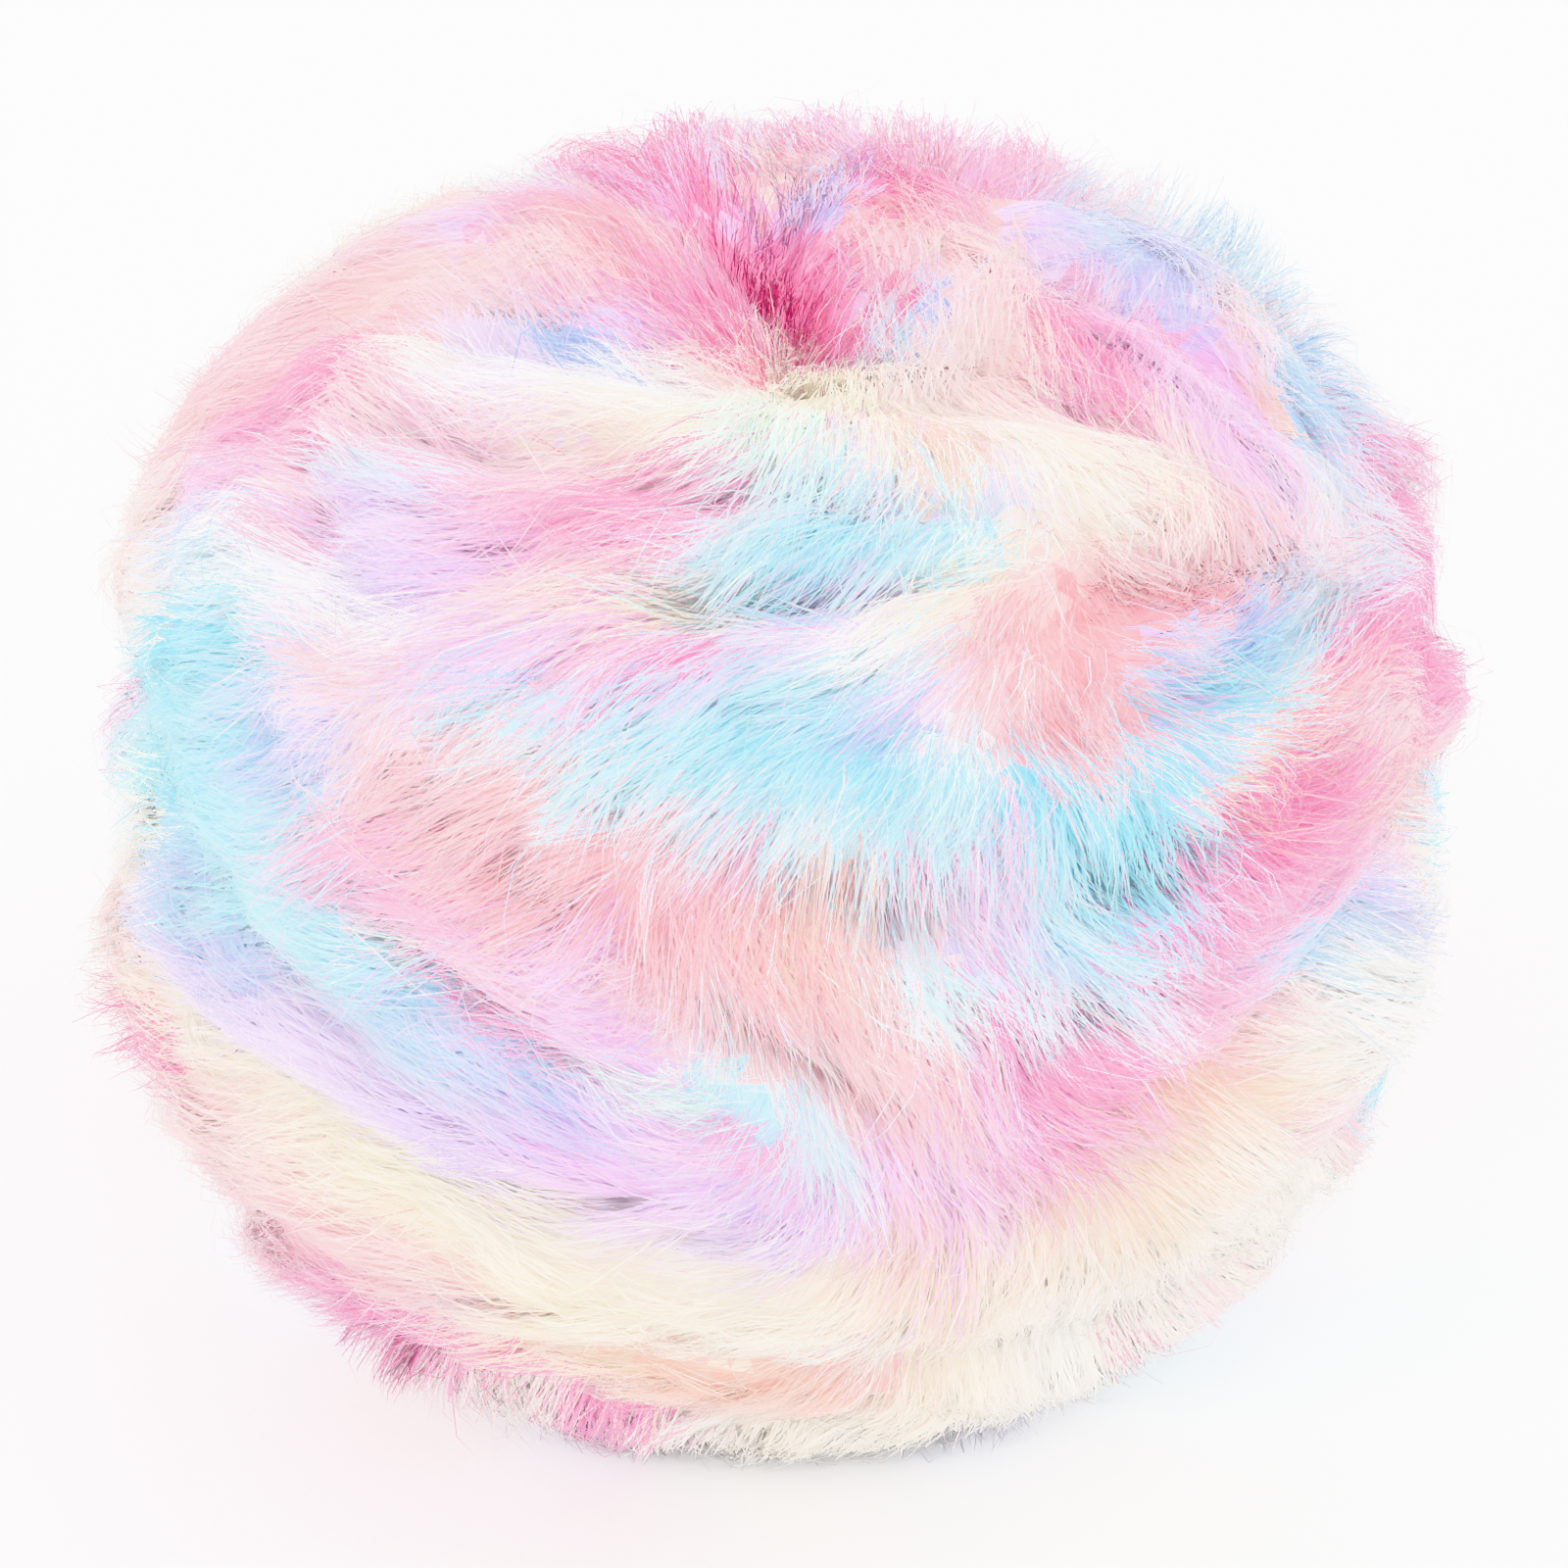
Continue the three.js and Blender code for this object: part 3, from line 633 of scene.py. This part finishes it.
def hair_curve(root_dir, lie, lean, length, rise, bend, sag):
    """Points of each hair, from root to tip, over the wound form. Lean is 1 for a combed hair and
    less for one that stands up where the pile parts."""
    root_radius = SURFACE.at(root_dir) - CORE_SINK
    side = np.cross(root_dir, lie)
    tip_rise = TIP_RISE + PARTED_TIP_RISE * (1 - lean)
    points = []
    for t in HAIR_STATIONS:
        along = length * lean * (REACH * t + REACH_GROWTH * t * t)
        aside = length * bend * t * t
        lift = length * (rise * t - (rise - tip_rise) * t * t)
        here = unit(root_dir * root_radius[:, None] + lie * along[:, None] + side * aside[:, None])
        local = SURFACE.at(here) - CORE_SINK
        level = root_radius * (1 - TIP_FOLLOWS * t) + local * TIP_FOLLOWS * t
        point = here * (np.maximum(local + TIP_CLEARS * t, level) + lift)[:, None]
        point[:, 2] -= sag * t * t
        points.append(point)
    return np.stack(points, 1)


class Clumps:
    """Where the clumps of hair stand, how they lie, and the locks that they lean into."""

    def __init__(self):
        lock_dirs = unit(spread_directions(LOCKS) + RNG.normal(0, LOCK_JITTER, (LOCKS, 3)))
        lock_turn = RNG.normal(0, math.radians(LOCK_TURN), LOCKS)
        lock_size = RNG.uniform(*LOCK_SIZES, LOCKS)
        lock_rise = RNG.normal(*LOCK_RISE, LOCKS)
        lock_bend = RNG.normal(0, LOCK_BEND, LOCKS)
        self.dirs = unit(spread_directions(CLUMPS) + RNG.normal(0, CLUMP_JITTER, (CLUMPS, 3)))
        self.point = self.dirs * SURFACE.at(self.dirs)[:, None]
        lock = nearest(self.dirs, lock_dirs)
        turn = lock_turn[lock] + RNG.normal(0, math.radians(CLUMP_TURN), CLUMPS)
        lie, self.lean = CHART.lie(self.point)
        self.lie = turned(lie, self.dirs, turn)
        self.side = np.cross(self.dirs, self.lie)
        self.size = lock_size[lock] * RNG.uniform(*CLUMP_SIZES, CLUMPS)
        self.rise = lock_rise[lock] + RNG.normal(0, CLUMP_RISE, CLUMPS)
        self.rise += PARTED_RISE * (1 - self.lean)
        offset = np.sum((lock_dirs[lock] - self.dirs) * self.side, 1) * BALL_RADIUS
        self.bend = lock_bend[lock] + RNG.normal(0, CLUMP_BEND, CLUMPS) + CLUMP_GATHERS * offset
        self.tone = RNG.normal(0, CLUMP_TONE, CLUMPS)
        self.raise_tufts()

    def raise_tufts(self):
        for x, y, spread in TUFTS:
            gap = np.linalg.norm(self.point - on_ball([(x, y)]), axis=1)
            near = np.exp(-((gap / spread) ** 2))
            self.rise += TUFT_RISE * near
            self.size *= 1 + TUFT_GROWTH * near
            self.lean *= 1 - TUFT_STAND * near


def comb_hairs(clumps, clump):
    """Every hair's points, lie and root direction, each hair in its clump."""
    hairs = len(clump)
    lie, side, lean = clumps.lie[clump], clumps.side[clump], clumps.lean[clump]
    spine = hair_curve(clumps.dirs, clumps.lie, clumps.lean, clumps.size * HAIR_LENGTH,
                       clumps.rise, clumps.bend, np.full(CLUMPS, CLUMP_SAG))

    angle = RNG.uniform(0, 2 * math.pi, hairs)
    reach = CLUMP_SPREAD * np.sqrt(RNG.uniform(0, 1, hairs))
    root = (clumps.point[clump] + lie * (reach * np.cos(angle) * CLUMP_STRETCH)[:, None]
            + side * (reach * np.sin(angle))[:, None])
    root_dir = unit(root)
    stray = RNG.uniform(0, 1, hairs) < STRAY_SHARE
    turn = np.where(stray, STRAY_TURN, HAIR_TURN) + PARTED_TURN * (1 - lean)
    own = turned(lie, clumps.dirs[clump], RNG.normal(0, 1, hairs) * np.radians(turn))
    own = unit(own - np.sum(own * root_dir, 1, keepdims=True) * root_dir)
    length = clumps.size[clump] * HAIR_LENGTH * RNG.uniform(*HAIR_SIZES, hairs)
    rise = clumps.rise[clump] + RNG.normal(0, HAIR_RISE, hairs) + np.where(stray, STRAY_RISE, 0)
    bend = clumps.bend[clump] + RNG.normal(0, HAIR_BEND, hairs)
    sag = RNG.uniform(*HAIR_SAGS, hairs)
    curve = hair_curve(root_dir, own, lean, length, rise, bend, sag)

    joins = np.where(stray, STRAY_JOINS, RNG.uniform(*HAIR_JOINS, hairs))[:, None, None]
    shift = curve[:, :1] - spine[clump, :1]
    follow = spine[clump] + shift * (1 - CLUMP_CLOSES * HAIR_STATIONS[:, None])
    mix = joins * HAIR_STATIONS[:, None]
    curve = curve * (1 - mix) + follow * mix
    curve[:, :, 2] = np.maximum(curve[:, :, 2], FLOOR_GAP - CENTRE_HEIGHT)
    return curve, own, root_dir


def ribbons(curve):
    """Corners and normals of a ribbon along each hair, with two at a station and one at its tip."""
    hairs, tip = len(curve), 2 * (len(HAIR_STATIONS) - 1)
    out = unit(curve)
    run = unit(np.gradient(curve, axis=1))
    flat = unit(np.cross(run, out))
    twist = RNG.uniform(-1, 1, hairs)[:, None, None] * math.radians(HAIR_TWIST)
    across = flat * np.cos(twist) + np.cross(flat, run) * np.sin(twist)
    taper = np.interp(HAIR_STATIONS[:-1], *HAIR_TAPER)
    width = HAIR_WIDTH * RNG.uniform(*HAIR_WIDTHS, hairs)
    half = width[:, None, None] / 2 * taper[:, None]
    corners = np.empty((hairs, tip + 1, 3))
    corners[:, 0:tip:2] = curve[:, :-1] - across[:, :-1] * half
    corners[:, 1:tip:2] = curve[:, :-1] + across[:, :-1] * half
    corners[:, tip] = curve[:, -1]

    soft = SURFACE.normals(out.reshape(-1, 3)).reshape(out.shape)
    own = unit(np.cross(run, across))
    own *= np.sign(np.sum(own * out, 2, keepdims=True))
    shade = unit(soft * SOFT_SHADE + own * (1 - SOFT_SHADE))
    return corners, shade[:, np.arange(tip + 1) // 2]


def hair_dyes(curve, lie, root_dir):
    """The dye charted near the middle of each hair, or a little along the lie or across it."""
    far = RNG.uniform(0, 1, (len(curve), 1)) < FAR_SHARE
    wander = RNG.normal(0, 1, (len(curve), 2)) * np.where(far, FAR_WANDER, NEAR_WANDER)
    middle = (curve[:, 0] + curve[:, -1]) / 2
    return CHART.dye_at(middle + lie * wander[:, :1] + np.cross(root_dir, lie) * wander[:, 1:])


# Material: the map's first axis picks the dye, its second runs from root to tip and sets the painted
# shade and light
def linear(channel):
    """Linear light of an 8-bit sRGB channel."""
    channel /= 255
    return channel / 12.92 if channel <= 0.04045 else ((channel + 0.055) / 1.055) ** 2.4


def fur_material(name, dye_and_painted_light):
    """Dyed fibre with painted shade and light: the dye is painted deeper towards the root, as shade
    within the pile, and paler towards the tip, as light through the fibre.
    """
    material = bpy.data.materials.new(name)
    material.use_nodes = True
    nodes, links = material.node_tree.nodes, material.node_tree.links
    shader = nodes["Principled BSDF"]
    shader.inputs["Roughness"].default_value = ROUGHNESS
    shader.inputs["Specular IOR Level"].default_value = 0.0
    shader.subsurface_method = "BURLEY"
    shader.inputs["Subsurface Weight"].default_value = SUBSURFACE_WEIGHT
    shader.inputs["Subsurface Radius"].default_value = (1, 1, 1)
    shader.inputs["Subsurface Scale"].default_value = SUBSURFACE_REACH * MM
    where = nodes.new("ShaderNodeUVMap")
    where.uv_map = "OFBake"
    parts = nodes.new("ShaderNodeSeparateXYZ")
    links.new(where.outputs["UV"], parts.inputs[0])
    dyes = nodes.new("ShaderNodeValToRGB")
    ramp = dyes.color_ramp
    ramp.interpolation = "CONSTANT"
    for number, colour in enumerate(DYES.values()):
        place = number / len(DYES)
        stop = ramp.elements[number] if number < 1 else ramp.elements.new(place)
        stop.position = place
        stop.color = (*(linear(channel) for channel in colour), 1)
    ramp.elements.remove(ramp.elements[len(ramp.elements) - 1])
    links.new(parts.outputs["X"], dyes.inputs["Fac"])
    painted_light_and_tone = nodes.new("ShaderNodeMapRange")
    painted_light_and_tone.inputs["To Min"].default_value, painted_light_and_tone.inputs["To Max"].default_value = dye_and_painted_light
    links.new(parts.outputs["Y"], painted_light_and_tone.inputs["Value"])
    dye_with_painted_light = nodes.new("ShaderNodeGamma")
    links.new(dyes.outputs["Color"], dye_with_painted_light.inputs["Color"])
    links.new(painted_light_and_tone.outputs["Result"], dye_with_painted_light.inputs["Gamma"])
    links.new(dye_with_painted_light.outputs["Color"], shader.inputs["Base Color"])
    return material


def add_mesh(name, corners, faces, sizes, uv, normals, material):
    """A mesh from corner points in mm about the ball's centre, and its faces' corner numbers."""
    mesh = bpy.data.meshes.new(name)
    points = (corners + (0, 0, CENTRE_HEIGHT)) * MM
    mesh.vertices.add(len(points))
    mesh.vertices.foreach_set("co", points.ravel())
    mesh.loops.add(len(faces))
    mesh.loops.foreach_set("vertex_index", faces)
    mesh.polygons.add(len(sizes))
    starts = np.concatenate([[0], np.cumsum(sizes)[:-1]])
    mesh.polygons.foreach_set("loop_start", starts)
    mesh.uv_layers.new(name="OFBake").data.foreach_set("uv", uv.ravel())
    mesh.update(calc_edges=True)
    mesh.validate()
    mesh.materials.append(material)
    mesh.shade_smooth()
    if normals is not None:
        mesh.normals_split_custom_set_from_vertices(normals)
    piece = bpy.data.objects.new(name, mesh)
    bpy.context.scene.collection.objects.link(piece)
    return piece


def dye_place(dye):
    return (dye + 0.5) / len(DYES)


def add_fur(material):
    """The pile, in pieces that go round the ball."""
    clumps = Clumps()
    clump = np.repeat(np.arange(CLUMPS), HAIRS_A_CLUMP)
    curve, lie, root_dir = comb_hairs(clumps, clump)
    corners, normals = ribbons(curve)
    dye = hair_dyes(curve, lie, root_dir)
    tone = RNG.normal(0, HAIR_TONE, len(clump)) + clumps.tone[clump]

    quads = len(HAIR_STATIONS) - 2
    ladder = [[2 * i, 2 * i + 1, 2 * i + 3, 2 * i + 2] for i in range(quads)]
    face = np.array(sum(ladder, []) + [2 * quads, 2 * quads + 1, 2 * quads + 2])
    height = HAIR_STATIONS[face // 2]
    edge = np.where(height == 1, 0, np.where(face % 2, 1, -1)) * MAP_SIDE / len(DYES)
    where = clumps.dirs[clump]
    order = np.argsort(np.arctan2(where[:, 0], -where[:, 1]), kind="stable")
    pieces = []
    for number, part in enumerate(np.array_split(order, HAIR_PIECES)):
        faces = (np.arange(len(part))[:, None] * (2 * quads + 3) + face).ravel()
        uv = np.empty((len(part), len(face), 2))
        uv[..., 0] = dye_place(dye[part])[:, None] + edge
        # The place from root to tip sets the painted shade at the root and the painted light at the
        # tip; the tone varies at random.
        painted_light_and_tone = MAP_ROOT + MAP_RUN * height + tone[part][:, None] * (ROOT_TONE + height)
        uv[..., 1] = np.clip(painted_light_and_tone, *MAP_ENDS)
        pieces.append(add_mesh(f"fur_hair_{number + 1}", corners[part].reshape(-1, 3), faces,
                               np.tile([4] * quads + [3], len(part)), uv,
                               normals[part].reshape(-1, 3), material))
    return pieces


def add_undercoat(material):
    """The wound strand under the pile: the solid's form, finer, a little inside the fur."""
    ball = bmesh.new()
    bmesh.ops.create_icosphere(ball, subdivisions=CORE_SUBDIVISIONS, radius=1)
    dirs = unit(np.array([vertex.co for vertex in ball.verts]))
    faces = np.array([[vertex.index for vertex in face.verts] for face in ball.faces])
    ball.free()
    to_floor = (CENTRE_HEIGHT - CORE_SINK) / np.maximum(-dirs[:, 2], TINY)
    points = dirs * np.minimum(SURFACE.at(dirs) - CORE_SINK, to_floor)[:, None]
    middle = points[faces].mean(1)
    dye = CHART.dye_at(middle + RNG.normal(0, CORE_WANDER, middle.shape))
    side, height = MAP_SIDE / len(DYES), CORE_MAP_HEIGHT
    wedge = np.array([[-side, -height], [side, -height], [0, height]])
    # Each face takes a random tone within the undercoat's paler, painted-light strengths.
    painted_light_and_tone = RNG.uniform(*CORE_TONES, len(faces))
    uv = np.stack([dye_place(dye), painted_light_and_tone], 1)[:, None] + wedge
    return add_mesh("wound_yarn", points, faces.ravel(), np.full(len(faces), 3), uv, None, material)


def add_floor():
    """A pale floor, which is only staging."""
    corners = [(x * FLOOR_REACH, y * FLOOR_REACH, 0)
               for x, y in ((-1, -1), (1, -1), (1, 1), (-1, 1))]
    mesh = bpy.data.meshes.new("floor")
    mesh.from_pydata(corners, [], [(0, 1, 2, 3)])
    material = bpy.data.materials.new("floor")
    material.use_nodes = True
    shader = material.node_tree.nodes["Principled BSDF"]
    shader.inputs["Base Color"].default_value = (*[FLOOR_WHITE] * 3, 1)
    shader.inputs["Roughness"].default_value = FLOOR_ROUGHNESS
    shader.inputs["Specular IOR Level"].default_value = FLOOR_SPECULAR
    mesh.materials.append(material)
    floor = bpy.data.objects.new("floor", mesh)
    bpy.context.scene.collection.objects.link(floor)


def add_light():
    """A light tent: white all round, and brightest behind and above the camera."""
    world = bpy.data.worlds.new("light_tent")
    world.use_nodes = True
    world.cycles.sampling_method = "NONE"
    nodes, links = world.node_tree.nodes, world.node_tree.links
    tent = nodes["Background"]
    tent.inputs["Color"].default_value = (1, 1, 1, 1)
    where = nodes.new("ShaderNodeTexCoord")
    facing = nodes.new("ShaderNodeVectorMath")
    facing.operation = "DOT_PRODUCT"
    facing.inputs[1].default_value = KEY_DIRECTION
    links.new(where.outputs["Generated"], facing.inputs[0])
    power = nodes.new("ShaderNodeMapRange")
    power.inputs["From Min"].default_value = KEY_FROM
    power.inputs["To Min"].default_value = TENT_POWER
    power.inputs["To Max"].default_value = KEY_POWER
    links.new(facing.outputs["Value"], power.inputs["Value"])
    links.new(power.outputs["Result"], tent.inputs["Strength"])
    bpy.context.scene.world = world
    bpy.context.scene.view_settings.view_transform = "Khronos PBR Neutral"


add_camera()
fibre = fur_material("dyed_pile_painted_light", PILE_DYE_AND_PAINTED_LIGHT)
core = fur_material("dyed_core_painted_light", CORE_DYE_AND_PAINTED_LIGHT)
undercoat = add_undercoat(core)
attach(undercoat, "root")
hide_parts("yarn_ball")
for tuft in add_fur(fibre):
    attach(tuft, "root")
add_floor()
add_light()
